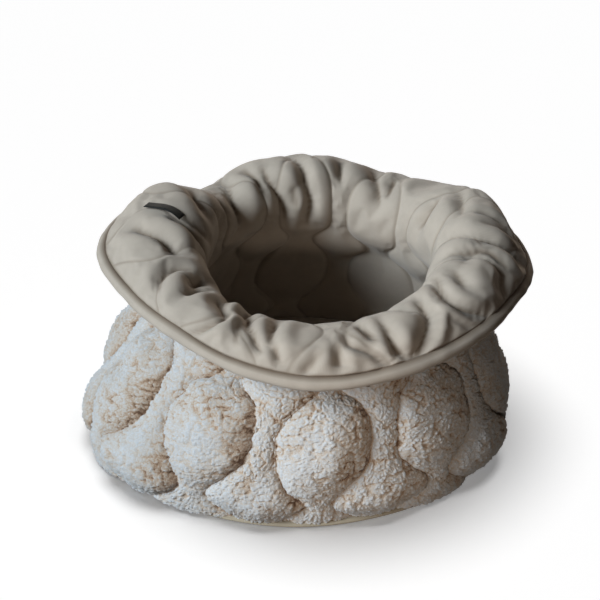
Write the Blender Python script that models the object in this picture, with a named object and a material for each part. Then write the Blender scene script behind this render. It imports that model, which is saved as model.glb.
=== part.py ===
"""A reversible pet bed: a padded, quilted round bag whose top is folded outwards into a wide cuff.

The wall is one quilted cloth of two layers: curly fleece outside and smooth jersey over wadding
inside. Both rise from the base, lean in to the mouth, turn over at the crown and come down again as
the cuff, where a padded binding closes their edges. Wavy quilting lines divide both layers into
onion-shaped pillows. All lengths are metres; an azimuth is in degrees, 0 at +X and -90 at the front.
"""

import math

import bmesh
import bpy
import numpy as np
from mathutils import Vector
from mathutils.bvhtree import BVHTree

# The quilting.
LINE_COUNT = 20  # quilting lines round the wall
LINE_TURN = -3.5  # azimuth of the first line
QUILT_PITCH = 0.124  # cloth height from one row of pillows to the next row in the same column
QUILT_SWING = 0.285  # how far a line swings to each side, in line spacings
QUILT_RISE = 0.0245  # cloth height at which the lowest row of pillows is widest
QUILT_TAKE_UP = 0.034  # cloth height lost in puckers where the wall leans in to the mouth
ONION_SKEW = 0.55  # above 0 the pillows are round at the top and taper downwards

# The pieces.
LAYER_GAP = 0.0003  # between the two layers of the wall
SEAT_GAP = 0.0005  # between a piece and the one it is sewn to
BASE_CENTRE = (-0.0113, -0.0041)  # puts the middle of the whole outline at the origin
RIM_SHIFT = (0.0214, 0.004)  # the mouth and the cuff lean this far off the base's centre
LINING_SEAM_THICKNESS = 0.0045
FLEECE_SEAM_THICKNESS = 0.0040
BASE_EDGE_HEIGHT = 0.0050
BASE_MARGIN = 0.0035  # between the crowned middle of the base and the lining's foot
BINDING_WIDTH = 0.0120
BINDING_GAP = 0.0008  # from the cloth's edge, which bends between its columns
BINDING_THICKNESS = 0.0105
BINDING_ROOT = 0.85  # its thickness where it is sewn on, as a share of the greatest
BINDING_SHOULDER = 0.4  # where its rounding starts, as a share of the width
LABEL_LENGTH, LABEL_WIDTH, LABEL_THICKNESS = 0.044, 0.0115, 0.0012
LABEL_LIFT = 0.0008  # over the highest point under it
LABEL_AZIMUTH, LABEL_HEIGHT = 173.5, 0.236
LABEL_HEADING = -26.5  # azimuth of its long side

# Stations up the wall's section: the cloth's height at each, in order from the base seam to the edge.
STATIONS = ("foot", "belly", "waist", "throat", "crown", "shoulder", "edge")
STATION_HEIGHTS = (0.0, 0.034, 0.106, 0.190, 0.222, 0.256, 0.292)
EDGE = STATION_HEIGHTS[-1]
FOOT_Z = BASE_EDGE_HEIGHT + SEAT_GAP
BELLY_Z = 0.033
WAIST_Z = 0.105

# The middle of the wall's cloth round the bed: radii from the centre, and heights over the floor.
# The base's outline goes with them, and how much higher than usual the pillows sit.
SECTION_COLUMNS = (
    "azimuth", "base_r", "foot_r", "belly_r", "waist_r", "throat_r", "throat_z",
    "crown_r", "crown_z", "shoulder_r", "shoulder_z", "edge_r", "edge_z", "row_lift",
)
SECTIONS = (
    (-180.0, 0.216, 0.208, 0.213, 0.185, 0.131, 0.201, 0.148, 0.227, 0.188, 0.226, 0.2245, 0.210, 0.010),
    (-157.5, 0.224, 0.219, 0.227, 0.186, 0.131, 0.184, 0.147, 0.208, 0.180, 0.214, 0.203, 0.198, 0.011),
    (-135.0, 0.216, 0.209, 0.214, 0.184, 0.132, 0.172, 0.148, 0.195, 0.178, 0.204, 0.196, 0.193, 0.012),
    (-112.5, 0.209, 0.196, 0.200, 0.182, 0.133, 0.167, 0.149, 0.190, 0.182, 0.198, 0.202, 0.184, 0.008),
    (-90.0, 0.208, 0.192, 0.196, 0.181, 0.134, 0.166, 0.150, 0.189, 0.184, 0.194, 0.207, 0.178, 0.000),
    (-67.5, 0.209, 0.194, 0.198, 0.181, 0.134, 0.168, 0.150, 0.191, 0.183, 0.196, 0.205, 0.182, 0.006),
    (-45.0, 0.216, 0.206, 0.210, 0.183, 0.134, 0.176, 0.150, 0.199, 0.183, 0.202, 0.206, 0.189, 0.012),
    (-22.5, 0.221, 0.213, 0.219, 0.186, 0.135, 0.188, 0.150, 0.212, 0.185, 0.212, 0.210, 0.192, 0.010),
    (0.0, 0.218, 0.209, 0.215, 0.186, 0.138, 0.195, 0.154, 0.220, 0.189, 0.219, 0.2225, 0.1915, 0.008),
    (22.5, 0.216, 0.206, 0.214, 0.184, 0.141, 0.199, 0.157, 0.223, 0.194, 0.228, 0.211, 0.208, 0.008),
    (45.0, 0.213, 0.200, 0.208, 0.182, 0.139, 0.187, 0.155, 0.210, 0.188, 0.212, 0.212, 0.200, 0.008),
    (67.5, 0.209, 0.195, 0.200, 0.181, 0.137, 0.188, 0.153, 0.211, 0.184, 0.209, 0.207, 0.200, 0.008),
    (90.0, 0.208, 0.194, 0.198, 0.181, 0.136, 0.202, 0.152, 0.226, 0.184, 0.222, 0.207, 0.206, 0.008),
    (112.5, 0.209, 0.196, 0.201, 0.181, 0.135, 0.201, 0.151, 0.222, 0.184, 0.219, 0.207, 0.207, 0.008),
    (135.0, 0.213, 0.202, 0.210, 0.183, 0.133, 0.200, 0.149, 0.207, 0.184, 0.204, 0.210, 0.190, 0.008),
    (157.5, 0.216, 0.206, 0.217, 0.185, 0.132, 0.210, 0.149, 0.235, 0.192, 0.235, 0.2145, 0.2165, 0.008),
)

# The base's section, from the floor up and inwards: the outline each ring follows, the share of its
# radius, how far inside it, and the height.
BASE_SECTION_COLUMNS = ("outline", "share", "inset", "z")
BASE_SECTION = (
    ("rim", 1.0, 0.003, 0.0),
    ("rim", 1.0, 0.0, 0.0025),
    ("rim", 1.0, 0.002, BASE_EDGE_HEIGHT),
    ("middle", 1.0, 0.0, BASE_EDGE_HEIGHT),
    ("middle", 1.0, 0.003, 0.0160),
    ("middle", 1.0, 0.014, 0.0225),
    ("middle", 0.66, 0.0, 0.0270),
    ("middle", 0.33, 0.0, 0.0280),
)

# How far the pillows stand off the seam lines, at cloth heights.
LINING_RELIEF = (
    (0.0, 0.001), (0.04, 0.006), (0.11, 0.010), (0.19, 0.0125),
    (0.222, 0.011), (0.25, 0.008), (0.28, 0.0035), (0.292, 0.002),
)
FLEECE_RELIEF = (
    (0.0, 0.008), (0.03, 0.014), (0.10, 0.014), (0.135, 0.011),
    (0.18, 0.004), (0.235, 0.002), (0.27, 0.003), (0.292, 0.001),
)

# The main creases pressed into the cuff by its folding: ends, bow to one side, width and depth.
CREASE_COLUMNS = ("from_azimuth", "from_height", "to_azimuth", "to_height", "bow", "width", "depth")
CREASES = (
    (180, 0.262, 197, 0.228, 0.006, 0.030, 0.0090),
    (211, 0.266, 214, 0.236, -0.010, 0.016, 0.0070),
    (219, 0.256, 220, 0.218, 0.000, 0.016, 0.0070),
    (237, 0.220, 236, 0.256, 0.000, 0.014, 0.0060),
    (243, 0.220, 254, 0.272, 0.004, 0.016, 0.0075),
    (254, 0.226, 258, 0.276, 0.002, 0.015, 0.0075),
    (275, 0.240, 276, 0.284, 0.000, 0.014, 0.0050),
    (280, 0.226, 288, 0.286, 0.004, 0.013, 0.0050),
    (291, 0.236, 293, 0.284, 0.000, 0.014, 0.0050),
    (311, 0.228, 299, 0.286, -0.006, 0.018, 0.0075),
    (326, 0.220, 324, 0.282, 0.010, 0.013, 0.0045),
    (334, 0.228, 338, 0.280, -0.012, 0.014, 0.0055),
    (359, 0.214, 356, 0.284, 0.000, 0.022, 0.0060),
    (29, 0.196, 24, 0.236, 0.000, 0.018, 0.0060),
    (58, 0.196, 60, 0.240, 0.000, 0.018, 0.0060),
    (99, 0.186, 97, 0.232, 0.000, 0.018, 0.0065),
    (120, 0.180, 114, 0.242, 0.000, 0.020, 0.0085),
    (134, 0.180, 140, 0.240, 0.000, 0.020, 0.0070),
)
CREASE_STEPS = 12
THINNEST_LINING = 0.003

# Grid rows up the cloth, and columns round it.
COLUMNS_PER_PANEL = 6
BACK_COLUMNS = 40
LINING_ROWS = np.concatenate([np.linspace(0, 0.16, 10), np.linspace(0.172, EDGE, 13)])
FLEECE_ROWS = np.concatenate([np.linspace(0, 0.144, 13), np.linspace(0.162, EDGE, 8)])
BACK_ROWS = np.concatenate([np.linspace(0, 0.16, 5), np.linspace(0.18, 0.24, 6), np.linspace(0.256, EDGE, 3)])
BINDING_COLUMNS = 120
BASE_COLUMNS = 64


def smooth_through(knots, values, at):
    """A smooth curve through stacked values at the knots, read at the places in at."""
    slopes = np.gradient(values, knots, axis=0)
    i = np.clip(np.searchsorted(knots, at, side="right") - 1, 0, len(knots) - 2)
    here = (i, *np.indices(i.shape)) if values.ndim > 1 else i
    after = (i + 1, *np.indices(i.shape)) if values.ndim > 1 else i + 1
    span = knots[i + 1] - knots[i]
    t = (at - knots[i]) / span
    rise = slopes[here] * span * t * (1 - t) ** 2 + slopes[after] * span * t * t * (t - 1)
    return values[here] * (1 + 2 * t) * (1 - t) ** 2 + values[after] * t * t * (3 - 2 * t) + rise


def ease(t):
    t = np.clip(t, 0, 1)
    return t * t * (3 - 2 * t)


def around(name, azimuth):
    """A column of the sections, smoothly round the bed."""
    knots = np.array([row[0] for row in SECTIONS])
    values = np.array([row[SECTION_COLUMNS.index(name)] for row in SECTIONS])
    knots = np.concatenate([knots[-2:] - 360, knots, knots[:2] + 360])
    values = np.concatenate([values[-2:], values, values[:2]])
    return smooth_through(knots, values, (azimuth + 180) % 360 - 180)


def up_the_cloth(table, height):
    knots, values = np.array(table).T
    return smooth_through(knots, values, height)


def wall_path(azimuth, height):
    """Radius and height above the floor of the middle of the cloth."""
    level = {"foot": np.full_like(azimuth, FOOT_Z), "belly": np.full_like(azimuth, BELLY_Z)}
    level["waist"] = np.full_like(azimuth, WAIST_Z)
    for name in STATIONS[3:]:
        level[name] = around(name + "_z", azimuth)
    radii = np.stack([around(name + "_r", azimuth) for name in STATIONS])
    levels = np.stack([level[name] for name in STATIONS])
    knots = np.array(STATION_HEIGHTS)
    return smooth_through(knots, radii, height), smooth_through(knots, levels, height)


def wall_frame(azimuth, height):
    """Points on the middle of the cloth, and the directions from there to the lining's side."""
    step = 1e-4
    below_r, below_z = wall_path(azimuth, np.maximum(height - step, 0))
    above_r, above_z = wall_path(azimuth, np.minimum(height + step, EDGE))
    r, z = wall_path(azimuth, height)
    length = np.hypot(above_r - below_r, above_z - below_z)
    side_r, side_z = (below_z - above_z) / length, (above_r - below_r) / length
    angle = np.radians(azimuth)
    lean = ease(height / STATION_HEIGHTS[3])
    x = BASE_CENTRE[0] + RIM_SHIFT[0] * lean + r * np.cos(angle)
    y = BASE_CENTRE[1] + RIM_SHIFT[1] * lean + r * np.sin(angle)
    return np.stack([x, y, z], -1), np.stack([side_r * np.cos(angle), side_r * np.sin(angle), side_z], -1)


def line_place(line, heights):
    """Where the quilting lines run at each cloth height, in line spacings from the first line."""
    lift = around("row_lift", LINE_TURN + line * 360 / LINE_COUNT)
    waist, throat = STATION_HEIGHTS[2:4]
    taken_up = QUILT_TAKE_UP * ease((heights - waist) / (throat - waist))
    phase = 2 * np.pi * ((heights + taken_up)[:, None] - QUILT_RISE - lift) / QUILT_PITCH
    swing = QUILT_SWING * np.cos(phase + ONION_SKEW * np.sin(phase))
    return line + np.where(line % 2 == 0, -swing, swing)


def quilt_grid(heights):
    """Azimuth, cloth height and fullness of a grid whose columns follow the quilting lines.

    The fullness is 0 on the lines and 1 in the middle of a pillow where it is widest.
    """
    line, part = np.divmod(np.arange(LINE_COUNT * COLUMNS_PER_PANEL), COLUMNS_PER_PANEL)
    share = part / COLUMNS_PER_PANEL
    here, after = line_place(line, heights), line_place(line + 1, heights)
    azimuth = LINE_TURN + (here + (after - here) * share) * 360 / LINE_COUNT
    width = (after - here) / (1 + 2 * QUILT_SWING)
    full = width**0.8 * (4 * share * (1 - share)) ** 0.45
    return azimuth, np.broadcast_to(heights[:, None], azimuth.shape), full


def crease_depth(azimuth, height):
    """How deep the creases press into the lining, at arrays of azimuth and cloth height."""
    radius, _ = wall_path(azimuth, height)
    depth = np.zeros_like(azimuth)
    for row in CREASES:
        crease = dict(zip(CREASE_COLUMNS, row))
        turn = crease["to_azimuth"] - crease["from_azimuth"]
        climb = crease["to_height"] - crease["from_height"]
        nearest = np.full_like(azimuth, np.inf)
        for t in np.linspace(0, 1, CREASE_STEPS):
            off = (azimuth - crease["from_azimuth"] - turn * t + 180) % 360 - 180
            sideways = np.radians(off) * radius - 4 * crease["bow"] * t * (1 - t)
            nearest = np.minimum(nearest, np.hypot(sideways, height - crease["from_height"] - climb * t))
        depth = np.maximum(depth, crease["depth"] * np.exp(-((2 * nearest / crease["width"]) ** 2)))
    return depth


def add_rings(bm, points):
    """Adds a grid of points, a closed ring for each row, and the faces between the rows."""
    rings = [[bm.verts.new(p) for p in ring] for ring in points]
    for below, above in zip(rings, rings[1:]):
        join_rings(bm, below, above)
    return rings


def join_rings(bm, fine, coarse):
    """Closes the strip between two rings, whose counts divide."""
    times = len(fine) // len(coarse)
    for k, start in enumerate(coarse):
        end = coarse[(k + 1) % len(coarse)]
        run = [fine[(k * times + i) % len(fine)] for i in range(times + 1)]
        half = times // 2
        for i in range(half):
            bm.faces.new((run[i], run[i + 1], start))
        bm.faces.new((run[half], run[half + 1], end, start))
        for i in range(half + 1, times):
            bm.faces.new((run[i], run[i + 1], end))


def new_object(name, bm, material):
    bmesh.ops.recalc_face_normals(bm, faces=bm.faces)
    mesh = bpy.data.meshes.new(name)
    bm.to_mesh(mesh)
    bm.free()
    mesh.shade_smooth()
    mesh.set_sharp_from_angle(angle=math.radians(60))
    mesh.materials.append(material)
    made = bpy.data.objects.new(name, mesh)
    bpy.context.scene.collection.objects.link(made)
    return made


def new_material(name, colour, roughness):
    made = bpy.data.materials.new(name)
    made.use_nodes = True
    surface = made.node_tree.nodes["Principled BSDF"]
    surface.inputs["Base Color"].default_value = (*colour, 1)
    surface.inputs["Roughness"].default_value = roughness
    surface.inputs["Metallic"].default_value = 0
    return made


def make_layer(name, sign, rows, thickness_at, material):
    """One layer of the wall: a quilted face on its own side, a plain one against the other layer."""
    azimuth, height, full = quilt_grid(rows)
    middle, side = wall_frame(azimuth, height)
    thickness = LAYER_GAP / 2 + thickness_at(azimuth, height, full)
    face = middle + side * (sign * thickness)[..., None]
    azimuth, height = np.meshgrid(LINE_TURN + np.arange(BACK_COLUMNS) * 360 / BACK_COLUMNS, BACK_ROWS)
    middle, side = wall_frame(azimuth, height)
    back = middle + side * (sign * LAYER_GAP / 2)
    face[0, :, 2] = FOOT_Z
    back[0, :, 2] = FOOT_Z
    bm = bmesh.new()
    face_rings = add_rings(bm, face)
    back_rings = add_rings(bm, back)
    join_rings(bm, face_rings[0], back_rings[0])
    join_rings(bm, face_rings[-1], back_rings[-1])
    return new_object(name, bm, material)


def lining_thickness(azimuth, height, full):
    padded = LINING_SEAM_THICKNESS + up_the_cloth(LINING_RELIEF, height) * full
    return np.maximum(THINNEST_LINING, padded - crease_depth(azimuth, height))


def fleece_thickness(azimuth, height, full):
    return FLEECE_SEAM_THICKNESS + up_the_cloth(FLEECE_RELIEF, height) * full


def make_binding(material):
    """The padded band sewn round the cuff's edge: a rounded section, flat against the cloth."""
    azimuth = np.arange(BINDING_COLUMNS) * 360 / BINDING_COLUMNS
    edge, side = wall_frame(azimuth, np.full_like(azimuth, EDGE))
    before, _ = wall_frame(azimuth, np.full_like(azimuth, EDGE - BINDING_WIDTH / 3))
    out = (edge - before) / np.linalg.norm(edge - before, axis=-1)[:, None]
    half = BINDING_THICKNESS / 2
    section = [(0, -BINDING_ROOT * half)]
    for turn in np.radians(np.linspace(-78, 78, 7)):
        along = BINDING_SHOULDER + (1 - BINDING_SHOULDER) * math.cos(turn)
        section.append((BINDING_WIDTH * along, half * math.sin(turn)))
    section.append((0, BINDING_ROOT * half))
    bm = bmesh.new()
    rings = add_rings(bm, [edge + out * (BINDING_GAP + along) + side * up for along, up in section])
    join_rings(bm, rings[-1], rings[0])
    return new_object("binding", bm, material)


def make_base(material):
    """The padded bottom: a thin edge under the wall's foot, and a crowned middle inside it."""
    azimuth = np.arange(BASE_COLUMNS) * 360 / BASE_COLUMNS
    outlines = {
        "rim": around("base_r", azimuth),
        "middle": around("foot_r", azimuth) - LINING_SEAM_THICKNESS - BASE_MARGIN,
    }
    outward = np.stack([np.cos(np.radians(azimuth)), np.sin(np.radians(azimuth))], -1)
    points = []
    for row in BASE_SECTION:
        ring = dict(zip(BASE_SECTION_COLUMNS, row))
        radius = outlines[ring["outline"]] * ring["share"] - ring["inset"]
        flat = BASE_CENTRE + outward * radius[:, None]
        points.append(np.column_stack([flat, np.full_like(radius, ring["z"])]))
    bm = bmesh.new()
    rings = add_rings(bm, points)
    bm.faces.new(rings[0])
    bm.faces.new(rings[-1])
    return new_object("base", bm, material)


def make_label(lining, material):
    """A small woven label, sewn flat on the cuff at the back left. It carries no text."""
    surface = BVHTree.FromPolygons(
        [v.co for v in lining.data.vertices], [tuple(p.vertices) for p in lining.data.polygons]
    )
    middle, side = wall_frame(np.array([LABEL_AZIMUTH]), np.array([LABEL_HEIGHT]))
    up = Vector(side[0])
    heading = math.radians(LABEL_HEADING)
    across = up.cross(Vector((math.cos(heading), math.sin(heading), 0))).normalized()
    along = across.cross(up)
    places, heights = [], []
    for i in np.linspace(-0.5, 0.5, 9):
        for j in (-0.5, 0, 0.5):
            place = Vector(middle[0]) + along * (LABEL_LENGTH * i) + across * (LABEL_WIDTH * j)
            hit, _, _, _ = surface.ray_cast(place + up * LABEL_LENGTH, -up)
            places.append(place)
            heights.append((hit - place).dot(up))
    # The stiff tape bridges the hollows under it: it lies on the highest of each three neighbours.
    rows = np.array(heights).reshape(9, 3)
    bridged = np.maximum(rows, np.maximum(np.vstack([rows[1:], rows[-1:]]), np.vstack([rows[:1], rows[:-1]])))
    low = [p + up * (h + LABEL_LIFT) for p, h in zip(places, bridged.ravel())]
    high = [p + up * LABEL_THICKNESS for p in low]
    outlines = [low[k : k + 3] + high[k : k + 3][::-1] for k in range(0, 27, 3)]
    bm = bmesh.new()
    rings = add_rings(bm, outlines)
    bm.faces.new(rings[0])
    bm.faces.new(rings[-1])
    return new_object("label", bm, material)


for old in list(bpy.data.objects):
    bpy.data.objects.remove(old)

jersey = new_material("jersey", (0.44, 0.38, 0.31), 0.85)
curly_fleece = new_material("curly_fleece", (0.74, 0.69, 0.62), 0.95)
band_jersey = new_material("band_jersey", (0.42, 0.36, 0.29), 0.85)
base_cloth = new_material("base_cloth", (0.46, 0.40, 0.32), 0.88)
dark_tape = new_material("dark_tape", (0.012, 0.012, 0.010), 0.70)

the_lining = make_layer("lining", 1, LINING_ROWS, lining_thickness, jersey)
make_layer("fleece_wall", -1, FLEECE_ROWS, fleece_thickness, curly_fleece)
make_binding(band_jersey)
make_base(base_cloth)
make_label(the_lining, dark_tape)
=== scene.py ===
"""The looks of a reversible pet bed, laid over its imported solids.

The bed is a round quilted bag of two layers, curly fleece outside and smooth jersey over wadding
inside. Its top is folded outwards into a wide cuff, closed by a padded band. Lengths are metres and
azimuths are degrees, 0 at +X and -90 at the front.
"""

import math

import bmesh
import bpy
import numpy as np
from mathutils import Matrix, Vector
from mathutils.bvhtree import BVHTree


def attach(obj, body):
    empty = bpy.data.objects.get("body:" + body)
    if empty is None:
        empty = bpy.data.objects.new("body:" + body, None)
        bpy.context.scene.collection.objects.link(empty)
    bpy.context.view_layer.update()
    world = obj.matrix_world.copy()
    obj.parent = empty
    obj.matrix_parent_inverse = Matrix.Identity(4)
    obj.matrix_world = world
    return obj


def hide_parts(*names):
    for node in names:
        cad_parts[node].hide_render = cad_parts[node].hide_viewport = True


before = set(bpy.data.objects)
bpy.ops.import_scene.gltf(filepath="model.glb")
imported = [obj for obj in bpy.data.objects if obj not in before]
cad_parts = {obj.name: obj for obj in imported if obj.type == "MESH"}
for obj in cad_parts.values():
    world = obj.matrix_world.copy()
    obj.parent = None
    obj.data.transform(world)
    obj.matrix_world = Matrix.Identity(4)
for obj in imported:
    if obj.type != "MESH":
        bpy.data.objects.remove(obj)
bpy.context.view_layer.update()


# ---- Floor, light and camera ------------------------------------------------------------------
# A plain pale studio floor that runs out of sight, evenly lit from above. Only the bed gets soft
# window light from the left, a low fill beside it, a weak warm fill from behind and a small soft
# spot from the front. The camera looks down at the bed from 30 degrees.

VIEW_ELEVATION = 30.0
VIEW_DISTANCE = 1.6
CAMERA_LENS, CAMERA_SENSOR = 88.3, 36.0  # millimetres
AIM = Vector((-0.0080, -0.0041, 0.1481))
FLOOR_SIZE = 12.0
WHITE = (0.955, 0.958, 0.962)
BACKDROP = (0.975, 0.975, 0.977)
FLOOR_GLOW = 0.24
ROOM_GLOW, ROOM_TINT = 0.017, (1.0, 0.80, 0.62)
SUNS = (
    # name, azimuth, elevation, softness in degrees, strength, colour, whether it lights the floor
    ("window", 205.0, 31.0, 30.0, 4.0, (0.78, 0.905, 1.0), False),
    ("low_fill", 225.0, 2.0, 30.0, 0.75, (0.90, 0.95, 1.0), False),
    ("back_fill", 80.0, 9.0, 45.0, 1.5, (1.0, 0.88, 0.76), False),
    ("floor_light", 105.0, 80.0, 42.0, 2.5, (1.0, 1.0, 1.0), True),
)
SPOT_AZIMUTH, SPOT_ELEVATION, SPOT_DISTANCE = 268.0, 16.0, 1.5
SPOT_AIM, SPOT_REACH, SPOT_SIZE = Vector((0.045, -0.18, 0.066)), 0.165, 0.15
SPOT_POWER, SPOT_COLOUR = 60.0, (1.0, 0.89, 0.78)


def set_inputs(node, values):
    """Give the named inputs of a shader node their values."""
    for name, value in values.items():
        node.inputs[name].default_value = value


bpy.ops.object.select_all(action="DESELECT")
bpy.ops.mesh.primitive_plane_add(size=FLOOR_SIZE, location=(0, 0, 0))
floor = bpy.context.object
floor.name = "floor"
floor.visible_diffuse = False
floor_paint = bpy.data.materials.new("pale_floor")
floor_paint.use_nodes = True
floor_surface = floor_paint.node_tree.nodes["Principled BSDF"]
set_inputs(floor_surface, {"Base Color": (*WHITE, 1), "Roughness": 0.9})
set_inputs(floor_surface, {"Specular IOR Level": 0.1})
set_inputs(floor_surface, {"Emission Color": (*WHITE, 1), "Emission Strength": FLOOR_GLOW})
floor.data.materials.append(floor_paint)


def add_lamp(name, kind, azimuth, elevation, colour, power, lights_floor):
    """A lamp shining towards the bed from a place round it.

    It lights the floor alone, or all but the floor.
    """
    lamp = bpy.data.lights.new(name, kind)
    lamp.energy = power
    lamp.color = colour
    holder = bpy.data.objects.new(name, lamp)
    turn, rise = math.radians(azimuth), math.radians(elevation)
    level = math.cos(rise)
    away = Vector((math.cos(turn) * level, math.sin(turn) * level, math.sin(rise)))
    holder.rotation_euler = (-away).to_track_quat("-Z", "Y").to_euler()
    bpy.context.scene.collection.objects.link(holder)
    lit = bpy.data.collections.new(name + "_lit")
    lit.objects.link(floor)
    holder.light_linking.receiver_collection = lit
    lit.collection_objects[0].light_linking.link_state = "INCLUDE" if lights_floor else "EXCLUDE"
    return holder, away


for name, azimuth, elevation, softness, strength, colour, lights_floor in SUNS:
    sun, _ = add_lamp(name, "SUN", azimuth, elevation, colour, strength, lights_floor)
    sun.data.angle = math.radians(softness)
spot, away = add_lamp(
    "front_spot", "SPOT", SPOT_AZIMUTH, SPOT_ELEVATION, SPOT_COLOUR, SPOT_POWER, lights_floor=False
)
spot.location = SPOT_AIM + away * SPOT_DISTANCE
spot.data.spot_size = 2 * math.atan(SPOT_REACH / SPOT_DISTANCE)
spot.data.spot_blend = 1.0
spot.data.shadow_soft_size = SPOT_SIZE

world = bpy.data.worlds.new("studio")
world.use_nodes = True
bpy.context.scene.world = world
nodes, links = world.node_tree.nodes, world.node_tree.links
sky = nodes["Background"]
set_inputs(sky, {"Color": (*ROOM_TINT, 1), "Strength": ROOM_GLOW})
backdrop = nodes.new("ShaderNodeBackground")
set_inputs(backdrop, {"Color": (*BACKDROP, 1)})
seen = nodes.new("ShaderNodeLightPath")
blend = nodes.new("ShaderNodeMixShader")
links.new(seen.outputs["Is Camera Ray"], blend.inputs["Fac"])
links.new(sky.outputs["Background"], blend.inputs[1])
links.new(backdrop.outputs["Background"], blend.inputs[2])
links.new(blend.outputs["Shader"], nodes["World Output"].inputs["Surface"])
bpy.context.scene.view_settings.view_transform = "Standard"

camera_data = bpy.data.cameras.new("camera")
camera_data.lens = CAMERA_LENS
camera_data.sensor_width = CAMERA_SENSOR
camera = bpy.data.objects.new("camera", camera_data)
tilt = math.radians(VIEW_ELEVATION)
back = Vector((0, -math.cos(tilt), math.sin(tilt)))
camera.location = AIM + back * VIEW_DISTANCE
camera.rotation_euler = (-back).to_track_quat("-Z", "Y").to_euler()
bpy.context.scene.collection.objects.link(camera)
bpy.context.scene.camera = camera


# ---- Lining -----------------------------------------------------------------------------------
# Smooth taupe jersey over a thick wadding, quilted with wavy lines into onion-shaped pillows. It
# rises inside the bag, rolls over at the mouth and comes down outside as the cuff, where the
# folding presses deep soft creases into it. Sewn to the base below and into the band at its edge.

# The quilting lines swing towards each other and apart again, once in every pitch up the cloth.
LINE_COUNT = 20
LINE_TURN = -3.5  # the azimuth of the first
QUILT_PITCH = 0.124
QUILT_SWING = 0.285  # in line spacings
QUILT_RISE = 0.0245  # the cloth height at which every other pillow is first at its widest
QUILT_TAKE_UP = 0.034  # this much of the pattern is pushed together from waist to throat
ONION_SKEW = 0.55  # the swing is sharper to one side, which makes the pillows onion-shaped

# The section up the cloth. A cloth height is a distance from the foot, along the cloth. The table
# has the radius and the height above the floor of each station, round the bed. The lowest three
# are level all round.
BASE_CENTRE = (-0.0113, -0.0041)
RIM_SHIFT = (0.0214, 0.004)  # the bag leans: from base to throat its centre moves this far
STATIONS = ("foot", "belly", "waist", "throat", "crown", "shoulder", "edge")
STATION_HEIGHTS = (0.0, 0.034, 0.106, 0.190, 0.222, 0.256, 0.292)
EDGE = STATION_HEIGHTS[-1]  # the free edge of the cuff
FOOT_Z, BELLY_Z, WAIST_Z = 0.0055, 0.033, 0.105
SECTION_COLUMNS = (
    "azimuth", "base_r", "foot_r", "belly_r", "waist_r", "throat_r", "throat_z",
    "crown_r", "crown_z", "shoulder_r", "shoulder_z", "edge_r", "edge_z", "row_lift",
)
SECTIONS = (
    (-180.0, .216, .208, .213, .185, .131, .201, .148, .227, .188, .226, .2245, .210, .010),
    (-157.5, .224, .219, .227, .186, .131, .184, .147, .208, .180, .214, .203, .198, .011),
    (-135.0, .216, .209, .214, .184, .132, .172, .148, .195, .178, .204, .196, .193, .012),
    (-112.5, .209, .196, .200, .182, .133, .167, .149, .190, .182, .198, .202, .184, .008),
    (-90.0, .208, .192, .196, .181, .134, .166, .150, .189, .184, .194, .207, .178, .000),
    (-67.5, .209, .194, .198, .181, .134, .168, .150, .191, .183, .196, .205, .182, .006),
    (-45.0, .216, .206, .210, .183, .134, .176, .150, .199, .183, .202, .206, .189, .012),
    (-22.5, .221, .213, .219, .186, .135, .188, .150, .212, .185, .212, .210, .192, .010),
    (0.0, .218, .209, .215, .186, .138, .195, .154, .220, .189, .219, .2225, .1915, .008),
    (22.5, .216, .206, .214, .184, .141, .199, .157, .223, .194, .228, .211, .208, .008),
    (45.0, .213, .200, .208, .182, .139, .187, .155, .210, .188, .212, .212, .200, .008),
    (67.5, .209, .195, .200, .181, .137, .188, .153, .211, .184, .209, .207, .200, .008),
    (90.0, .208, .194, .198, .181, .136, .202, .152, .226, .184, .222, .207, .206, .008),
    (112.5, .209, .196, .201, .181, .135, .201, .151, .222, .184, .219, .207, .207, .008),
    (135.0, .213, .202, .210, .183, .133, .200, .149, .207, .184, .204, .210, .190, .008),
    (157.5, .216, .206, .217, .185, .132, .210, .149, .235, .192, .235, .2145, .2165, .008),
)
# How far the wadding stands up between the lines, and how thick the lining is on them.
LINING_RELIEF = (
    (0.0, 0.001), (0.04, 0.0045), (0.11, 0.0060), (0.17, 0.0048),
    (0.205, 0.0040), (0.235, 0.0034), (0.265, 0.0024), (0.292, 0.001),
)
LINING_SEAM_THICKNESS = 0.0045
LINING_SEAM_RELIEF = (
    (0.0, 0.0), (0.04, 0.0010), (0.15, 0.0040), (0.20, 0.0065),
    (0.26, 0.0052), (0.285, 0.0012), (0.292, 0.0),
)
LINING_ROUNDNESS = 0.62  # the less, the fuller the pillows are beside the lines
PILLOW_SHRINKING = 0.8  # how much flatter the narrow parts of a pillow are
THINNEST_LINING = 0.0025
LAYER_GAP = 0.0003  # between the lining and the fleece
CUFF_FOOT = 0.160  # the rows are closer together from this cloth height on
LINING_PER_PANEL = 18
LINING_HEIGHTS = np.concatenate(
    [np.linspace(0, CUFF_FOOT, 14)[:-1], np.linspace(CUFF_FOOT, EDGE, 47)]
)
# The cloth heights of the rows on its hidden side.
LINING_BACK = (EDGE, 0.270, 0.245, 0.222, 0.198, 0.160, 0.080, 0.0)
# The jersey's own colour, and the colour of the shade painted on it.
JERSEY_LIGHT, JERSEY_PAINTED_SHADE = (0.460, 0.385, 0.315), (0.150, 0.100, 0.062)
JERSEY_KNIT = (1300.0, 1500.0, 0.0002)  # columns and rows per metre, and depth
# How dark the painted shade is along the quilting lines and how wide, in the middle of deep
# creases, and where the cloth goes under the band.
SEAM_SHADE, SEAM_SHADE_WIDTH = 0.35, 0.0022
CREASE_SHADE, EDGE_SHADE = 0.95, 0.9

# How the jersey settles: its extra cloth, the wadding's push, how long and how far it moves, and
# where it is sewn fast at the foot and at the edge.
JERSEY_EXCESS = 0.020
WADDING_PUSH = 3.0
SETTLING_FRAMES = 20
FURTHEST_MOVE = 0.009
HELD_FOOT, HELD_EDGE, HOLD_STEPS = 0.10, 0.002, 10

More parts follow.
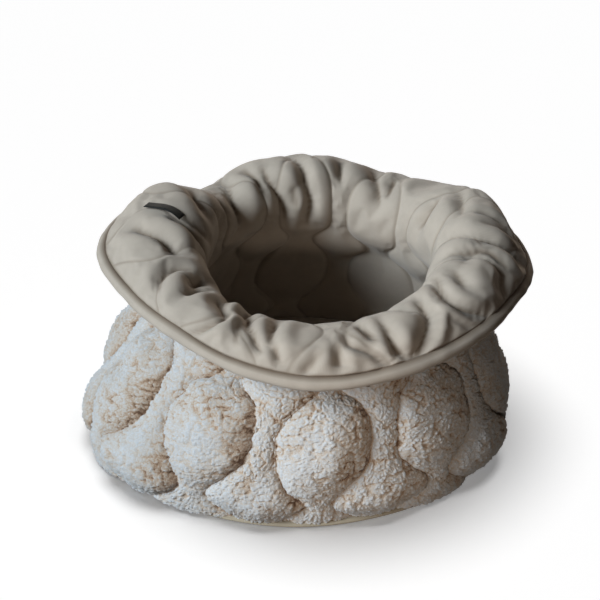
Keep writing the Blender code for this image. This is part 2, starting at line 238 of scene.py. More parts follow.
# The shape of a crease across its path, in its own widths, and its ends.
CREASE_WIDTH, CREASE_DEPTH = 0.80, 1.08  # against the widths and depths in the list
CREASE_FALL = 1.4
CREASE_LIP, CREASE_LIP_PLACE = 0.28, 1.75
CREASE_CLOSING = 1.3
CREASE_ENDS, CREASE_TAPER = 0.25, 0.7
# The middle of a deep crease is painted darker, as shade.
CREASE_CORE, CORE_DEPTH = 0.0030, 0.009  # the dark line in it, full where it is this deep
CREASE_STEPS = 14
CREASE_FADE = 0.02  # below the edge, where the closing ends

# Creases: a path of azimuth and cloth height pairs, then width, depth, and how far the lips close.
CREASES = (
    ((180, .259), (184.5, .246), (188.7, .237), (196.4, .231), 0.011, 0.0120, 0.35),
    ((211.9, .265), (207.4, .254), (205.2, .238), (207, .225), 0.010, 0.0070, 0.25),
    ((215, .240), (212.5, .225), (211, .214), 0.010, 0.0120, 0.40),
    ((219.9, .253), (219.5, .238), (219.1, .225), 0.010, 0.0115, 0.40),
    ((227.3, .229), (232, .236), (237.3, .247), 0.010, 0.0060, 0.25),
    ((238.5, .212), (239, .223), (239.6, .234), 0.009, 0.0100, 0.35),
    ((236.7, .237), (238, .253), (235.1, .269), (231, .288), 0.007, 0.0055, 0.30),
    ((242.4, .244), (245.9, .272), 0.010, 0.0055, 0.20),
    ((241.5, .222), (245, .238), (249.5, .256), (253.5, .272), 0.010, 0.0105, 0.40),
    ((254, .230), (254.8, .244), (255.7, .260), 0.010, 0.0105, 0.40),
    ((257.3, .263), (259.2, .277), 0.008, 0.0065, 0.25),
    ((270.4, .264), (267.5, .279), (265.4, .290), 0.007, 0.0045, 0.25),
    ((275.5, .259), (275.5, .281), 0.009, 0.0070, 0.25),
    ((278.5, .244), (279.4, .259), (284.8, .270), (288.9, .289), 0.007, 0.0055, 0.30),
    ((284, .233), (285.5, .246), (286.6, .259), 0.009, 0.0085, 0.35),
    ((291.7, .240), (292.1, .267), (293.6, .281), 0.009, 0.0095, 0.35),
    ((302, .228), (303.7, .239), 0.009, 0.0065, 0.25),
    ((310.5, .230), (307.4, .249), (299.8, .277), (297.1, .290), 0.012, 0.0100, 0.35),
    ((326, .223), (320.5, .234), (317.4, .249), (318.7, .264), (324.9, .287), 0.008, 0.0070, 0.30),
    ((331, .233), (325.5, .249), 0.011, 0.0065, 0.15),
    ((334.4, .235), (342, .238), (342.9, .253), (341.7, .267), (336.1, .277), 0.009, 0.0060, 0.25),
    ((341, .219), (346.5, .242), (346.7, .257), (344.9, .272), 0.010, 0.0070, 0.25),
    ((359.5, .213), (355.6, .233), (354.4, .259), (355.9, .284), 0.013, 0.0100, 0.30),
    ((362.5, .240), (362.4, .257), (362.2, .272), 0.008, 0.0055, 0.20),
    ((369.4, .239), (367.3, .252), (365.5, .264), 0.008, 0.0055, 0.20),
    ((29.5, .242), (18.1, .233), (8.6, .227), 0.008, 0.0050, 0.20),
    ((29.4, .224), (27.6, .209), (27.6, .193), 0.013, 0.0095, 0.30),
    ((57.6, .238), (55, .216), 0.012, 0.0085, 0.30),
    ((68.5, .249), (62.9, .224), (58, .206), 0.011, 0.0080, 0.30),
    ((80.7, .240), (78.5, .216), 0.010, 0.0070, 0.25),
    ((99, .243), (96, .220), (95, .206), (93, .190), (94.1, .170), 0.011, 0.0095, 0.30),
    ((102, .205), (100.6, .186), 0.008, 0.0055, 0.20),
    ((112.8, .233), (111.5, .213), (107.8, .193), (106, .176), 0.012, 0.0110, 0.35),
    ((119, .246), (117.5, .226), (117.5, .204), 0.010, 0.0090, 0.30),
    ((127, .240), (132.9, .206), (134, .178), 0.016, 0.0110, 0.30),
    ((149, .236), (157.5, .220), (163, .208), 0.011, 0.0080, 0.25),
    ((177.6, .233), (180.3, .220), (182, .204), 0.008, 0.0040, 0.15),
    ((175, .228), (175.5, .213), (173.6, .196), 0.008, 0.0040, 0.15),
)


def smooth_through(knots, values, at):
    """A smooth curve through stacked values at the knots, read at the places in at."""
    slopes = np.gradient(values, knots, axis=0)
    i = np.clip(np.searchsorted(knots, at, side="right") - 1, 0, len(knots) - 2)
    here = (i, *np.indices(i.shape)) if values.ndim > 1 else i
    after = (i + 1, *np.indices(i.shape)) if values.ndim > 1 else i + 1
    span = knots[i + 1] - knots[i]
    t = (at - knots[i]) / span
    rise = slopes[here] * span * t * (1 - t) ** 2 + slopes[after] * span * t * t * (t - 1)
    return values[here] * (1 + 2 * t) * (1 - t) ** 2 + values[after] * t * t * (3 - 2 * t) + rise


def ease(t):
    """A smooth step from 0 to 1."""
    t = np.clip(t, 0, 1)
    return t * t * (3 - 2 * t)


def around(name, azimuth):
    """A column of the sections, smoothly round the bed."""
    knots = np.array([row[0] for row in SECTIONS])
    values = np.array([row[SECTION_COLUMNS.index(name)] for row in SECTIONS])
    knots = np.concatenate([knots[-2:] - 360, knots, knots[:2] + 360])
    values = np.concatenate([values[-2:], values, values[:2]])
    return smooth_through(knots, values, (azimuth + 180) % 360 - 180)


def up_the_cloth(table, height):
    """A table of cloth heights and values, read smoothly between its rows."""
    knots, values = np.array(table).T
    return smooth_through(knots, values, height)


def wall_path(azimuth, height):
    """Radius and height above the floor of the middle of the cloth."""
    level = {"foot": np.full_like(azimuth, FOOT_Z), "belly": np.full_like(azimuth, BELLY_Z)}
    level["waist"] = np.full_like(azimuth, WAIST_Z)
    for name in STATIONS[3:]:
        level[name] = around(name + "_z", azimuth)
    radii = np.stack([around(name + "_r", azimuth) for name in STATIONS])
    levels = np.stack([level[name] for name in STATIONS])
    knots = np.array(STATION_HEIGHTS)
    return smooth_through(knots, radii, height), smooth_through(knots, levels, height)


def wall_frame(azimuth, height):
    """Points on the middle of the cloth, and the directions from there to the lining's side."""
    step = 1e-4
    below_r, below_z = wall_path(azimuth, np.maximum(height - step, 0))
    above_r, above_z = wall_path(azimuth, np.minimum(height + step, EDGE))
    r, z = wall_path(azimuth, height)
    length = np.hypot(above_r - below_r, above_z - below_z)
    side_r, side_z = (below_z - above_z) / length, (above_r - below_r) / length
    angle = np.radians(azimuth)
    lean = ease(height / STATION_HEIGHTS[3])
    x = BASE_CENTRE[0] + RIM_SHIFT[0] * lean + r * np.cos(angle)
    y = BASE_CENTRE[1] + RIM_SHIFT[1] * lean + r * np.sin(angle)
    side = np.stack([side_r * np.cos(angle), side_r * np.sin(angle), side_z], -1)
    return np.stack([x, y, z], -1), side


def line_place(line, heights):
    """Where the quilting lines run at each cloth height, in line spacings from the first line."""
    lift = around("row_lift", LINE_TURN + line * 360 / LINE_COUNT)
    waist, throat = STATION_HEIGHTS[2:4]
    taken_up = QUILT_TAKE_UP * ease((heights - waist) / (throat - waist))
    phase = 2 * np.pi * ((heights + taken_up)[:, None] - QUILT_RISE - lift) / QUILT_PITCH
    swing = QUILT_SWING * np.cos(phase + ONION_SKEW * np.sin(phase))
    return line + np.where(line % 2 == 0, -swing, swing)


def quilt_grid(heights, per_panel, roundness):
    """Azimuth, cloth height, fullness and nearness to a seam of a grid that follows the lines.

    The fullness is 0 on the lines and 1 in the middle of a pillow where it is widest.
    """
    line, part = np.divmod(np.arange(LINE_COUNT * per_panel), per_panel)
    share = part / per_panel
    here, after = line_place(line, heights), line_place(line + 1, heights)
    azimuth = LINE_TURN + (here + (after - here) * share) * 360 / LINE_COUNT
    width = (after - here) / (1 + 2 * QUILT_SWING)
    full = width**PILLOW_SHRINKING * (4 * share * (1 - share)) ** roundness
    from_seam = np.minimum(share, 1 - share) * (after - here) * 2 * np.pi / LINE_COUNT
    return azimuth, np.broadcast_to(heights[:, None], azimuth.shape), full, from_seam


def crease_path(crease):
    """Evenly spread points of azimuth and cloth height along a crease, smooth through its pairs."""
    pairs = np.array([p for p in crease if isinstance(p, tuple)], float)
    knots = np.arange(len(pairs), dtype=float)
    at = np.linspace(0, len(pairs) - 1, CREASE_STEPS)
    if len(pairs) == 2:
        return pairs[0] + (pairs[1] - pairs[0]) * at[:, None]
    return np.stack([smooth_through(knots, pairs[:, k], at) for k in range(2)], -1)


def press_creases(azimuth, height):
    """Depth, closing and core of the creases at arrays of azimuth and cloth height.

    The closing of their lips is a shift in metres along the azimuth and up the cloth. The core is 1
    along the middle of a deep crease.
    """
    radius, _ = wall_path(azimuth, height)
    depth = np.zeros_like(azimuth)
    core = np.zeros_like(azimuth)
    close = np.zeros((*azimuth.shape, 2))
    for crease in CREASES:
        width, deep, lips = crease[-3] * CREASE_WIDTH, crease[-2] * CREASE_DEPTH, crease[-1]
        path = crease_path(crease)
        off = (azimuth[None] - path[:, 0, None, None] + 180) % 360 - 180
        across = np.radians(off) * radius
        up = height[None] - path[:, 1, None, None]
        apart = np.hypot(across, up)
        near = apart.argmin(0)[None]
        far = np.take_along_axis(apart, near, 0)[0]
        t = near[0] / (len(path) - 1)
        taper = np.clip(4 * t * (1 - t) + CREASE_ENDS, 0, 1) ** CREASE_TAPER
        fall = np.exp(-((far / width) ** CREASE_FALL)) * taper
        lip = np.exp(-(((far - CREASE_LIP_PLACE * width) / width) ** 2))
        depth += deep * (fall - CREASE_LIP * lip * taper)
        beside = np.exp(-((far / (CREASE_CLOSING * width)) ** 2))
        pull = lips * width * taper * (far / width) * beside / np.maximum(far, 1e-6)
        close[..., 0] -= np.take_along_axis(across, near, 0)[0] * pull
        close[..., 1] -= np.take_along_axis(up, near, 0)[0] * pull
        line = np.exp(-((far / CREASE_CORE) ** 2))
        core = np.maximum(core, line * taper * min(1, deep / CORE_DEPTH))
    return depth, close, core


def quad_mesh(name, points, faces, material):
    """A smooth-shaded mesh from an array of points and an array of four-cornered faces."""
    mesh = bpy.data.meshes.new(name)
    mesh.vertices.add(len(points))
    mesh.vertices.foreach_set("co", np.asarray(points, np.float32).ravel())
    mesh.loops.add(faces.size)
    mesh.loops.foreach_set("vertex_index", faces.astype(np.int32).ravel())
    mesh.polygons.add(len(faces))
    mesh.polygons.foreach_set("loop_start", np.arange(0, faces.size, 4, dtype=np.int32))
    mesh.update(calc_edges=True)
    mesh.shade_smooth()
    mesh.materials.append(material)
    made = bpy.data.objects.new(name, mesh)
    bpy.context.scene.collection.objects.link(made)
    return made


def ring_faces(rows, columns):
    """Faces of a grid of closed rings, one above another."""
    i, j = np.meshgrid(np.arange(rows - 1), np.arange(columns), indexing="ij")
    k = (j + 1) % columns
    corners = (i * columns + j, i * columns + k, (i + 1) * columns + k, (i + 1) * columns + j)
    return np.stack(corners, -1).reshape(-1, 4)


def close_rings(rings, columns):
    """Faces of closed rings whose last is joined to the first, as an outer and an inner side."""
    joint = ring_faces(2, columns)
    joint[:, 0:2] += (rings - 1) * columns
    joint[:, 2:4] -= columns
    return np.concatenate([ring_faces(rings, columns), joint])


def lay_weave(made, faces, rings):
    """A map of the cloth in metres, "weave", for a grid of closed rings."""
    columns = rings.shape[1]
    steps = np.linalg.norm(np.roll(rings, -1, 0) - rings, axis=-1).mean(1)
    up = np.concatenate([[0], np.cumsum(steps)])
    across = np.linalg.norm(np.roll(rings, -1, 1) - rings, axis=-1).mean()
    column, row = faces % columns, faces // columns
    column = np.where((column == 0) & (column.max(1) == columns - 1)[:, None], columns, column)
    row = np.where((row == 0) & (row.max(1) == len(rings) - 1)[:, None], len(rings), row)
    layer = made.data.uv_layers.new(name="weave")
    place = np.stack([column * across, up[row]], -1)
    layer.data.foreach_set("uv", place.astype(np.float32).ravel())


def set_value(made, name, values):
    """A number on each point of a mesh, which its material reads by name."""
    layer = made.data.attributes.new(name, "FLOAT", "POINT")
    layer.data.foreach_set("value", np.asarray(values, np.float32).ravel())


def weave_group():
    """Threads and cloudy unevenness of a knitted or woven cloth, read from its "weave" map."""
    group = bpy.data.node_groups.new("weave", "ShaderNodeTree")
    for name, value in (("Columns per metre", 800.0), ("Rows per metre", 1000.0)):
        socket = group.interface.new_socket(name, in_out="INPUT", socket_type="NodeSocketFloat")
        socket.default_value = value
    for name in ("Threads", "Clouds"):
        group.interface.new_socket(name, in_out="OUTPUT", socket_type="NodeSocketFloat")
    nodes, links = group.nodes, group.links
    given, result = nodes.new("NodeGroupInput"), nodes.new("NodeGroupOutput")

    def maths(operation, *values):
        node = nodes.new("ShaderNodeMath")
        node.operation = operation
        for slot, value in zip(node.inputs, values):
            if isinstance(value, float):
                slot.default_value = value
            else:
                links.new(value, slot)
        return node.outputs[0]

    place = nodes.new("ShaderNodeUVMap")
    place.uv_map = "weave"
    split = nodes.new("ShaderNodeSeparateXYZ")
    links.new(place.outputs["UV"], split.inputs[0])
    columns = maths("MULTIPLY", split.outputs["X"], given.outputs["Columns per metre"])
    columns = maths("MULTIPLY", columns, 2 * math.pi)
    rows = maths("MULTIPLY", split.outputs["Y"], given.outputs["Rows per metre"])
    rows = maths("MULTIPLY", rows, 2 * math.pi)
    ribs = maths("SINE", columns)
    loops = maths("SINE", maths("MULTIPLY_ADD", maths("ABSOLUTE", ribs), 2.0, rows))
    threads = maths("MULTIPLY_ADD", ribs, 0.3, maths("MULTIPLY_ADD", loops, 0.2, 0.5))
    where = nodes.new("ShaderNodeTexCoord")
    clouds = nodes.new("ShaderNodeTexNoise")
    set_inputs(clouds, {"Scale": 34.0, "Detail": 5.0, "Roughness": 0.62})
    links.new(where.outputs["Object"], clouds.inputs["Vector"])
    links.new(threads, result.inputs["Threads"])
    links.new(clouds.outputs["Fac"], result.inputs["Clouds"])
    return group


weave = weave_group()


def cloth_material(name, light, painted_shade_colour, columns, rows, depth, roughness=0.88, sheen=0.15):
    """A matt cloth with fine threads, slightly cloudy, and painted darker as shade as far as its
    points' shade attribute says.
    """
    material = bpy.data.materials.new(name)
    material.use_nodes = True
    nodes, links = material.node_tree.nodes, material.node_tree.links
    surface = nodes["Principled BSDF"]
    set_inputs(surface, {"Roughness": roughness, "Specular IOR Level": 0.2})
    set_inputs(surface, {"Sheen Weight": sheen, "Sheen Roughness": 0.5})
    threads = nodes.new("ShaderNodeGroup")
    threads.node_tree = weave
    set_inputs(threads, {"Columns per metre": columns, "Rows per metre": rows})
    tone_and_painted_shade = nodes.new("ShaderNodeAttribute")
    tone_and_painted_shade.attribute_name = "tone_and_painted_shade"
    shade = nodes.new("ShaderNodeMix")
    shade.data_type = "RGBA"
    set_inputs(shade, {"A": (*light, 1), "B": (*painted_shade_colour, 1)})
    links.new(tone_and_painted_shade.outputs["Fac"], shade.inputs["Factor"])
    worn = nodes.new("ShaderNodeMapRange")
    set_inputs(worn, {"From Min": 0.3, "From Max": 0.7, "To Min": 0.92, "To Max": 1.05})
    links.new(threads.outputs["Clouds"], worn.inputs["Value"])
    grain = nodes.new("ShaderNodeMapRange")
    set_inputs(grain, {"To Min": 0.90, "To Max": 1.04})
    links.new(threads.outputs["Threads"], grain.inputs["Value"])
    both = nodes.new("ShaderNodeMath")
    both.operation = "MULTIPLY"
    links.new(worn.outputs["Result"], both.inputs[0])
    links.new(grain.outputs["Result"], both.inputs[1])
    tinted = nodes.new("ShaderNodeVectorMath")
    tinted.operation = "SCALE"
    links.new(shade.outputs["Result"], tinted.inputs["Vector"])
    links.new(both.outputs["Value"], tinted.inputs["Scale"])
    links.new(tinted.outputs["Vector"], surface.inputs["Base Color"])
    relief = nodes.new("ShaderNodeBump")
    set_inputs(relief, {"Strength": 0.35, "Distance": depth})
    links.new(threads.outputs["Threads"], relief.inputs["Height"])
    links.new(relief.outputs["Normal"], surface.inputs["Normal"])
    return material


azimuth, height, full, from_seam = quilt_grid(LINING_HEIGHTS, LINING_PER_PANEL, LINING_ROUNDNESS)
depth, close, core = press_creases(azimuth, height)
radius, _ = wall_path(azimuth, height)
azimuth = azimuth + np.degrees(close[..., 0] / radius)
height = np.clip(height + close[..., 1] * ease((EDGE - height) / CREASE_FADE), 0, EDGE)
middle, side = wall_frame(azimuth, height)
thick = LINING_SEAM_THICKNESS + up_the_cloth(LINING_SEAM_RELIEF, height)
thick = np.maximum(thick + up_the_cloth(LINING_RELIEF, height) * full - depth, THINNEST_LINING)
face = middle + side * (LAYER_GAP / 2 + thick)[..., None]
back_azimuth, back_height = np.broadcast_arrays(azimuth[0][None], np.array(LINING_BACK)[:, None])
back_middle, back_side = wall_frame(back_azimuth, back_height)
rings = np.concatenate([face, back_middle + back_side * LAYER_GAP / 2])
jersey = cloth_material("jersey", JERSEY_LIGHT, JERSEY_PAINTED_SHADE, *JERSEY_KNIT)
faces = close_rings(len(rings), rings.shape[1])[:, ::-1]
lining = quad_mesh("lining_cloth", rings.reshape(-1, 3), faces, jersey)
lay_weave(lining, faces, rings)
# Painted shade: darker in the middle of deep creases, along the quilting lines and where the cloth
# goes under the band.
shade = np.maximum(CREASE_SHADE * core, SEAM_SHADE * np.exp(-((from_seam / SEAM_SHADE_WIDTH) ** 2)))
shade = np.maximum(shade, EDGE_SHADE * np.exp(-(((EDGE - height) / SEAM_SHADE_WIDTH) ** 2)))
set_value(lining, "tone_and_painted_shade", np.concatenate([shade, np.zeros(back_azimuth.shape)]))

# The cloth is sewn down along the lines, and there is more of it than the pillows need, so the
# wadding's push gathers it into small folds beside the stitching.
sewn = lining.vertex_groups.new(name="sewn")
on_line = np.arange(face.shape[1])[None] % LINING_PER_PANEL == 0
ends = (height < HELD_FOOT) | (height > EDGE - HELD_EDGE)
hold = np.maximum(core, (on_line | ends) * 1.0)
hold = np.concatenate([hold, np.ones(back_azimuth.shape)]).ravel()
for level in range(1, HOLD_STEPS + 1):
    held = np.flatnonzero(np.round(hold * HOLD_STEPS) == level)
    sewn.add(held.tolist(), level / HOLD_STEPS, "REPLACE")
cloth = lining.modifiers.new("cloth", "CLOTH")
cloth.settings.quality = 6
cloth.settings.mass = 0.3
cloth.settings.tension_stiffness = 12
cloth.settings.compression_stiffness = 12
cloth.settings.shear_stiffness = 5
cloth.settings.bending_stiffness = 1.5
cloth.settings.air_damping = 2
cloth.settings.vertex_group_mass = "sewn"
cloth.settings.shrink_min = -JERSEY_EXCESS
cloth.settings.use_pressure = True
cloth.settings.uniform_pressure_force = WADDING_PUSH
cloth.settings.effector_weights.gravity = 0
cloth.collision_settings.use_collision = False
for moment in range(1, SETTLING_FRAMES + 1):
    bpy.context.scene.frame_set(moment)
bpy.ops.object.select_all(action="DESELECT")
bpy.context.view_layer.objects.active = lining
lining.select_set(True)
bpy.ops.object.modifier_apply(modifier="cloth")
settled = np.zeros(rings.size)
lining.data.vertices.foreach_get("co", settled)
moved = settled.reshape(rings.shape) - rings
far = np.linalg.norm(moved, axis=-1, keepdims=True)
moved *= np.minimum(1, FURTHEST_MOVE / np.maximum(far, 1e-9))
lining.data.vertices.foreach_set("co", (rings + moved).ravel())
finer = lining.modifiers.new("finer", "SUBSURF")
finer.levels = finer.render_levels = 1
bpy.context.view_layer.objects.active = lining
bpy.ops.object.modifier_apply(modifier="finer")
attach(lining, "root")
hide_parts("lining")


# ---- Fleece wall ------------------------------------------------------------------------------
# Cream curly fleece, the outer layer of the quilted wall: a knitted backing blown up into pillows
# between the quilting lines, under a dense pile of small matted curls that part in fine tan
# cracks. Sewn to the base below, and into the band above.

FLEECE_RELIEF = (
    (0.0, 0.008), (0.03, 0.0140), (0.10, 0.0140), (0.135, 0.0112),
    (0.18, 0.004), (0.235, 0.002), (0.27, 0.003), (0.292, 0.001),
)
# How thick the fleece is on the lines, and how far the furry seams wander over what lengths.
FLEECE_SEAM_THICKNESS = 0.0036
SEAM_SWAY = ((0.0032, 0.014), (0.0012, 0.005))
FLEECE_ROUNDNESS = 0.55
FLEECE_PER_PANEL = 12
FINE_TO = 0.165  # the rows are closer together up to this cloth height
FLEECE_HEIGHTS = np.concatenate([np.linspace(0, FINE_TO, 34)[:-1], np.linspace(FINE_TO, EDGE, 16)])
SEAM_REACH = 0.0042
SEAM_FILL, SEAM_FILL_REACH = 0.0017, 0.0042  # the curls stand into the seams and fill them in part
SEAM_FILL_FOOT = 0.012  # and only from this height on
PUFF_UNEVEN, PUFF_SIZE = 0.22, 0.024
CRUMB_HEIGHT, CRUMB_SIZE = 0.0007, 0.006
BACKING_TONE, BACKING_SEAM_SHADE, BACKING_INSIDE = 0.52, 0.34, 0.5
PILE_TOP = 0.172
PILE_ROWS = 200
PILE_PER_PANEL = 80
PILE_BANDS = 4
PILE_FOOT = 0.0003
PILE_ROOT, CURL_HEIGHT, CLUMP_HEIGHT, FUZZ_HEIGHT = 0.0008, 0.0021, 0.0028, 0.0008
CURL_SIZE, CLUMP_SIZE, FUZZ_SIZE = 0.0042, 0.0100, 0.0018
CLUMP_FLATNESS = 1.7
CURL_STIR, CURL_STIR_SIZE = 0.0022, 0.005  # how far the curls are pushed out of line
CURL_EDGE, CURL_DOME, CLUMP_EDGE = 0.45, 0.35, 0.27
SEAM_THINNING = 0.2  # the pile is shorter on the seams

# The pile parts as far as its openness says, more in patches, on the seams and on one flank of
# each pillow, its right side seen from the front. That flank and the seams are also painted darker,
# as shade.
OPEN_PILE, PATCH_OPENING, PATCH_SIZE = 0.68, 0.35, 0.030
SHADED_FLANK_OPENING, SEAM_SHADE_OPENING, OPENING_RANGE = 0.5, 0.4, (0.2, 1.3)
PILE_TONE, CURL_TONE, CLUMP_TONE, FUZZ_TONE = 0.86, 0.38, 0.56, 0.05
# Painted shade on the seams and on the shaded flank of each pillow, and the brightness of the
# pile's hidden underside.
SEAM_PAINTED_SHADE, FLANK_PAINTED_SHADE, UNDER_TONE = 0.33, 0.32, 0.3
PILE_SOFTNESS = 0.64  # light passes through loose pile, so it is shaded softer than its surface is

# Its colours, from the dark browns in the partings, brown roots there darkened in part as painted
# shade, to the pale tips. The smallest curls are in the material alone: their number in a metre,
# their brightness and relief, and how they are stirred.
FLEECE_COLOURS = (
    (0.0, (0.11, 0.055, 0.028)),
    (0.33, (0.34, 0.225, 0.145)),
    (0.66, (0.46, 0.39, 0.325)),
    (1.0, (0.49, 0.497, 0.51)),
)
SMALL_CURLS, SMALL_CURL_TONE, SMALL_CURL_RELIEF = 310.0, 0.25, 0.0009
SMALL_STIR, SMALL_STIR_SCALE = 0.006, 260.0


def curl_group():
    """The small curls: rounded cells. Both values are 0 in the partings and 1 on the curls."""
    group = bpy.data.node_groups.new("curls", "ShaderNodeTree")
    for name in ("Height", "Parting"):
        group.interface.new_socket(name, in_out="OUTPUT", socket_type="NodeSocketFloat")
    nodes, links = group.nodes, group.links
    result = nodes.new("NodeGroupOutput")
    where = nodes.new("ShaderNodeTexCoord")
    stir = nodes.new("ShaderNodeTexNoise")
    set_inputs(stir, {"Scale": SMALL_STIR_SCALE, "Detail": 2.0})
    links.new(where.outputs["Object"], stir.inputs["Vector"])
    bent = nodes.new("ShaderNodeVectorMath")
    bent.operation = "MULTIPLY_ADD"
    bent.inputs[1].default_value = (SMALL_STIR, SMALL_STIR, SMALL_STIR)
    links.new(stir.outputs["Color"], bent.inputs[0])
    links.new(where.outputs["Object"], bent.inputs[2])
    cells = nodes.new("ShaderNodeTexVoronoi")
    cells.feature = "DISTANCE_TO_EDGE"
    set_inputs(cells, {"Scale": SMALL_CURLS})
    links.new(bent.outputs["Vector"], cells.inputs["Vector"])
    for name, far in (("Height", 0.35), ("Parting", 0.14)):
        span = nodes.new("ShaderNodeMapRange")
        span.interpolation_type = "SMOOTHSTEP"
        set_inputs(span, {"From Max": far})
        links.new(cells.outputs["Distance"], span.inputs["Value"])
        links.new(span.outputs["Result"], result.inputs[name])
    return group


fleece = bpy.data.materials.new("curly_fleece")
fleece.use_nodes = True
nodes, links = fleece.node_tree.nodes, fleece.node_tree.links
surface = nodes["Principled BSDF"]
set_inputs(surface, {"Roughness": 0.95, "Specular IOR Level": 0.15})
set_inputs(surface, {"Sheen Weight": 0.3, "Sheen Roughness": 0.6})
pile = nodes.new("ShaderNodeAttribute")
pile.attribute_name = "pile"
small = nodes.new("ShaderNodeGroup")
small.node_tree = curl_group()
parted = nodes.new("ShaderNodeMath")
parted.operation = "MULTIPLY_ADD"
parted.inputs[1].default_value = SMALL_CURL_TONE
links.new(small.outputs["Parting"], parted.inputs[0])
links.new(pile.outputs["Fac"], parted.inputs[2])
tones = nodes.new("ShaderNodeValToRGB")
for place, _ in FLEECE_COLOURS[1:-1]:
    tones.color_ramp.elements.new(place)
for step, (_, colour) in zip(tones.color_ramp.elements, FLEECE_COLOURS):
    step.color = (*colour, 1)
links.new(parted.outputs["Value"], tones.inputs["Fac"])
links.new(tones.outputs["Color"], surface.inputs["Base Color"])
relief = nodes.new("ShaderNodeBump")
set_inputs(relief, {"Strength": 0.22, "Distance": SMALL_CURL_RELIEF})
links.new(small.outputs["Height"], relief.inputs["Height"])
links.new(relief.outputs["Normal"], surface.inputs["Normal"])


def lattice_random(cells, seed):
    """Three even random numbers from 0 to 1 for each whole-numbered place of an (N, 3) array."""
    c = cells.astype(np.int64)
    mixed = (c[:, 0] * 73856093) ^ (c[:, 1] * 19349663) ^ (c[:, 2] * 83492791) ^ (seed * 2654435761)
    found = []
    for _ in range(3):
        mixed = (mixed * 6364136223846793005 + 1442695040888963407) & 0x7FFFFFFFFFFFFFFF
        found.append(((mixed >> 24) & 0xFFFFFF) / 0xFFFFFF)
    return np.stack(found, -1)


def soft_noise(points, size, seed):
    """Three smooth random values between -1 and 1 at each point, changing over the given size."""
    place = points / size
    whole = np.floor(place)
    t = ease(place - whole)
    total = np.zeros_like(points)
    for corner in np.ndindex(2, 2, 2):
        weight = np.prod(np.where(np.array(corner) == 1, t, 1 - t), axis=-1)[:, None]
        total += weight * lattice_random(whole + corner, seed)
    return total * 2 - 1


def round_cells(points, size, seed):
    """Height of a heap of round lumps, from 0 in the creases between them to 1 on their tops."""
    whole = np.floor(points / size)
    nearest = np.full(len(points), 9.0)
    second = np.full(len(points), 9.0)
    for step in np.ndindex(3, 3, 3):
        cell = whole + np.array(step) - 1
        apart = np.linalg.norm((cell + lattice_random(cell, seed)) * size - points, axis=1) / size
        second = np.minimum(second, np.maximum(nearest, apart))
        nearest = np.minimum(nearest, apart)
    return ease((second - nearest) / CURL_EDGE) * (1 - CURL_DOME * np.minimum(nearest, 1) ** 2)


def fleece_face(heights, per_panel):
    """Points of the fleece's outer side before its pile, on a grid that follows the lines.

    With them come their azimuth, cloth height, distance from a seam and thickness.
    """
    azimuth, height, full, from_seam = quilt_grid(heights, per_panel, FLEECE_ROUNDNESS)
    middle, side = wall_frame(azimuth, height)
    flat = middle.reshape(-1, 3)
    sway = sum(soft_noise(flat, size, seed=31)[:, 0] * far for far, size in SEAM_SWAY)
    sway = sway.reshape(azimuth.shape)
    azimuth = azimuth + np.degrees(sway / np.hypot(middle[..., 0], middle[..., 1]))
    middle, side = wall_frame(azimuth, height)
    uneven = soft_noise(flat, PUFF_SIZE, seed=32)[:, 0].reshape(azimuth.shape)
    full = full * (1 + PUFF_UNEVEN * uneven)
    thick = LAYER_GAP / 2 + FLEECE_SEAM_THICKNESS + up_the_cloth(FLEECE_RELIEF, height) * full
    filled = np.exp(-((from_seam / SEAM_FILL_REACH) ** 2))
    thick += SEAM_FILL * filled * ease(height / SEAM_FILL_FOOT)
    return middle - side * thick[..., None], azimuth, height, from_seam, thick


def unit(vectors):
    """The same directions, each with a length of 1."""
    return vectors / np.maximum(np.linalg.norm(vectors, axis=-1), 1e-9)[..., None]


def facing_out(points, side):
    """Normals of a grid of closed rings, turned away from the given directions."""
    across = np.roll(points, -1, 1) - np.roll(points, 1, 1)
    normals = -np.cross(across, np.gradient(points, axis=0))
    return unit(normals * np.sign((normals * -side).sum(-1).mean()))


face, azimuth, height, from_seam, _ = fleece_face(FLEECE_HEIGHTS, FLEECE_PER_PANEL)
face[0, :, 2] = FOOT_Z
crumb = soft_noise(face.reshape(-1, 3), CRUMB_SIZE, seed=11).reshape(face.shape)[..., :1]
_, side = wall_frame(azimuth, height)
face[1:] -= (side * (crumb * CRUMB_HEIGHT))[1:]
back_azimuth, back_height = np.broadcast_arrays(azimuth[0][None], np.linspace(EDGE, 0, 8)[:, None])
back_middle, back_side = wall_frame(back_azimuth, back_height)
inner = back_middle - back_side * LAYER_GAP / 2
inner[-1, :, 2] = FOOT_Z
rings = np.concatenate([face, inner])
faces = close_rings(*rings.shape[:2])
backing = quad_mesh("fleece_backing", rings.reshape(-1, 3), faces, fleece)
# The backing is painted darker along the seams, as shade in their valleys.
root_tone = BACKING_TONE - BACKING_SEAM_SHADE * np.exp(-((from_seam / SEAM_REACH) ** 2))
inside_tone = np.full(back_azimuth.shape, BACKING_INSIDE)
set_value(backing, "pile", np.concatenate([root_tone, inside_tone]))
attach(backing, "root")
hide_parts("fleece_wall")

# The pile, a closed ring for each band of the wall up to a little under the cuff. The shading runs
# on smoothly from band to band.
pile_heights = np.linspace(0, PILE_TOP, PILE_ROWS)
front, azimuth, height, from_seam, thick = fleece_face(pile_heights, PILE_PER_PANEL)
_, side = wall_frame(azimuth, height)
flat = front.reshape(-1, 3)
curly = flat + soft_noise(flat, CURL_STIR_SIZE, seed=21) * CURL_STIR
curl = round_cells(curly, CURL_SIZE, seed=22)
clump = np.abs(soft_noise(curly * (1, 1, CLUMP_FLATNESS), CLUMP_SIZE, seed=23)[:, 0])
clump = 1 - (1 - np.clip(clump / CLUMP_EDGE, 0, 1)) ** 2
fuzz = soft_noise(flat, FUZZ_SIZE, seed=24)[:, 0]
near_seam = np.exp(-((from_seam.ravel() / SEAM_REACH) ** 2))
tall = CURL_HEIGHT * curl + CLUMP_HEIGHT * clump + FUZZ_HEIGHT * fuzz
tall = PILE_ROOT + tall * (1 - SEAM_THINNING * near_seam)
